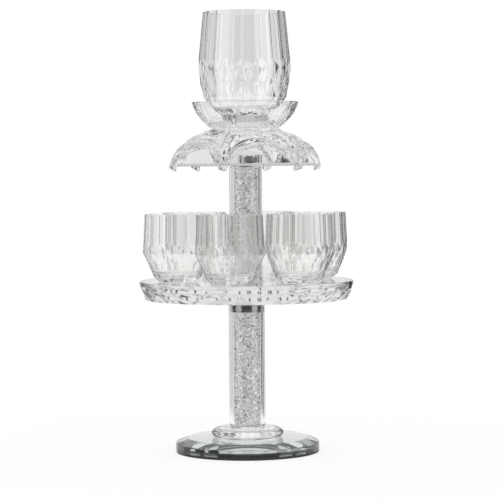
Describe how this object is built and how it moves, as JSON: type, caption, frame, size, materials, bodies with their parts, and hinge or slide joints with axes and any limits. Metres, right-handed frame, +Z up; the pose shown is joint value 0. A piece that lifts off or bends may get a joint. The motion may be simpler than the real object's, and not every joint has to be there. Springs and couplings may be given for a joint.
{
  "type": "wine fountain",
  "caption": "Cut-crystal kiddush wine fountain: a main cup in a drained bowl over a spouted dome, which feeds small cups on a round tray.",
  "frame": {"origin": "centre of the felt's underside, on the table", "axes": "+Z up along the stem; -Y towards one of the small cups"},
  "size_m": [0.1452, 0.1452, 0.298],
  "materials": {
    "crystal": "polished clear cut crystal",
    "chips": "crushed sparkling crystal",
    "collar": "polished and grooved",
    "steel": "zinc plated",
    "silvering": "silvered",
    "felt": "short pile",
    "seal": "clear and matt"
  },
  "bodies": {
    "stand": {"base_felt": "felt", "base_mirror": "silvering", "base_disc": "crystal", "stem_foot": "crystal", "foot_seal": "seal", "lower_tube": "crystal", "lower_chips": "chips", "lower_collar": "collar", "tray_seal_lower": "seal", "tray": "crystal", "tray_seal_upper": "seal", "upper_tube": "crystal", "upper_chips": "chips", "plate_stud": "steel", "plate_seal": "seal", "dome_plate": "crystal", "top_washer": "seal", "top_nut": "steel"},
    "dome": {"spout_dome": "crystal"},
    "bowl": {"bowl": "crystal", "bowl_seat": "crystal"},
    "main_cup": {"main_cup": "crystal"},
    "cup_1": {"cup_1": "crystal"},
    "cup_2": {"cup_2": "crystal"},
    "cup_3": {"cup_3": "crystal"},
    "cup_4": {"cup_4": "crystal"},
    "cup_5": {"cup_5": "crystal"},
    "cup_6": {"cup_6": "crystal"}
  },
  "joints": [
    {"name": "dome_turn", "type": "hinge", "parent": "stand", "child": "dome", "pos_m": [0, 0, 0.1956], "axis": [0, 0, 1], "continuous": true},
    {"name": "bowl_lift", "type": "slide", "parent": "dome", "child": "bowl", "axis": [0, 0, 1], "range_m": [0, 0.06]},
    {"name": "main_cup_lift", "type": "slide", "parent": "bowl", "child": "main_cup", "axis": [0, 0, 1], "range_m": [0, 0.1]},
    {"name": "cup_1_lift", "type": "slide", "parent": "stand", "child": "cup_1", "axis": [0, -0.9397, 0.342], "range_m": [0, 0.09]},
    {"name": "cup_2_lift", "type": "slide", "parent": "stand", "child": "cup_2", "axis": [0.8138, -0.4698, 0.342], "range_m": [0, 0.09]},
    {"name": "cup_3_lift", "type": "slide", "parent": "stand", "child": "cup_3", "axis": [0.8138, 0.4698, 0.342], "range_m": [0, 0.09]},
    {"name": "cup_4_lift", "type": "slide", "parent": "stand", "child": "cup_4", "axis": [0, 0.9397, 0.342], "range_m": [0, 0.09]},
    {"name": "cup_5_lift", "type": "slide", "parent": "stand", "child": "cup_5", "axis": [-0.8138, 0.4698, 0.342], "range_m": [0, 0.09]},
    {"name": "cup_6_lift", "type": "slide", "parent": "stand", "child": "cup_6", "axis": [-0.8138, -0.4698, 0.342], "range_m": [0, 0.09]}
  ]
}
